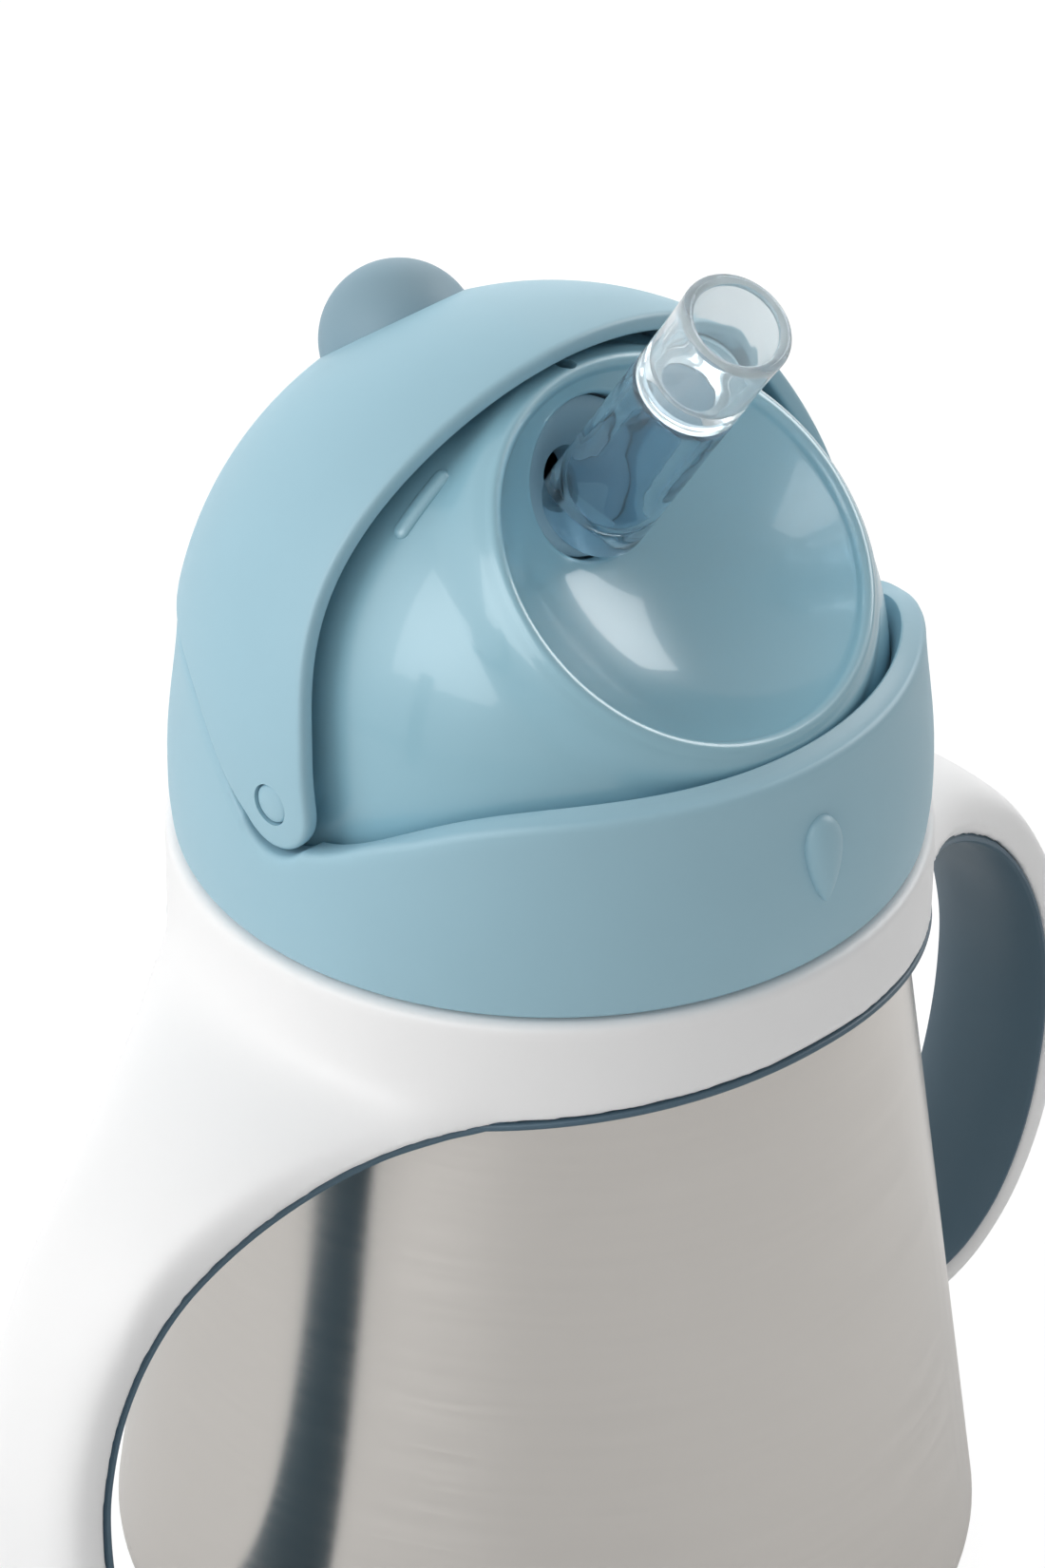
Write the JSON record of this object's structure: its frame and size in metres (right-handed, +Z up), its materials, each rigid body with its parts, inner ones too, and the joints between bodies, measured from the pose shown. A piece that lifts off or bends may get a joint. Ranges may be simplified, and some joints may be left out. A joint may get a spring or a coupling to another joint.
{
  "type": "sippy cup",
  "caption": "Insulated steel training cup with two hanging handles, a screw lid, a flip cover and a soft straw spout that folds into a scoop.",
  "frame": {"origin": "middle of the base, on the table", "axes": "+Z up, the spout leans towards -Y, the cover hinge and both handles lie along X"},
  "size_m": [0.13, 0.0814, 0.1444],
  "materials": {
    "steel": "horizontally brushed stainless steel",
    "white_plastic": "white polypropylene, semi-gloss",
    "slate_soft": "slate blue soft-touch elastomer",
    "satin_blue": "light blue polypropylene, fine satin",
    "gloss_blue": "light blue polypropylene, polished",
    "clear_silicone": "clear silicone"
  },
  "bodies": {
    "bottle": {"bottle_shell": "steel", "bottle_liner": "steel", "bottle_base": "steel", "handle_frame": "white_plastic", "ring_lining": "slate_soft", "left_grip": "slate_soft", "right_grip": "slate_soft"},
    "gasket": {"lid_gasket": "clear_silicone"},
    "lid": {"lid_collar": "satin_blue", "lid_dome": "gloss_blue", "vent_valve": "clear_silicone", "spout_base": "clear_silicone", "straw_connector": "white_plastic", "straw_tube_upper": "clear_silicone", "pivot_pin_left": "satin_blue", "pivot_pin_right": "satin_blue"},
    "flip_cover": {"cover": "satin_blue", "cover_knob": "slate_soft"},
    "spout": {"spout_lower": "clear_silicone"},
    "spout_end": {"spout_tip": "clear_silicone"},
    "straw_weight": {"straw_tube_lower": "clear_silicone", "weight_shell": "clear_silicone", "weight_core": "steel"}
  },
  "joints": [
    {"name": "lid_lift", "type": "slide", "parent": "bottle", "child": "gasket", "axis": [0, 0, 1], "range_m": [0, 0.00202]},
    {"name": "lid_turn", "type": "hinge", "parent": "gasket", "child": "lid", "pos_m": [0, 0, 0.0877], "axis": [0, 0, 1], "range_deg": [0, 60]},
    {"name": "cover_pivot", "type": "hinge", "parent": "lid", "child": "flip_cover", "pos_m": [0, 0, 0.0977], "axis": [1, 0, 0], "range_deg": [0, 76], "deforming": ["spout_lower", "spout_tip"]},
    {"name": "spout_fold", "type": "hinge", "parent": "lid", "child": "spout", "pos_m": [0, -0.00711, 0.11882], "axis": [1, 0, 0], "range_deg": [0, 77.5]},
    {"name": "spout_curl", "type": "hinge", "parent": "spout", "child": "spout_end", "pos_m": [0, -0.01684, 0.13348], "axis": [1, 0, 0], "range_deg": [0, 73.1]},
    {"name": "weight_swing", "type": "hinge", "parent": "lid", "child": "straw_weight", "pos_m": [0, -0.00074, 0.05], "axis": [1, 0, 0], "range_deg": [-20, 20]}
  ],
  "couplings": [
    {"joint": "lid_lift", "follows": "lid_turn", "m_per_rad": 0.0019099},
    {"joint": "spout_fold", "follows": "cover_pivot", "ratio": 1.0184},
    {"joint": "spout_curl", "follows": "cover_pivot", "ratio": 0.96053}
  ]
}
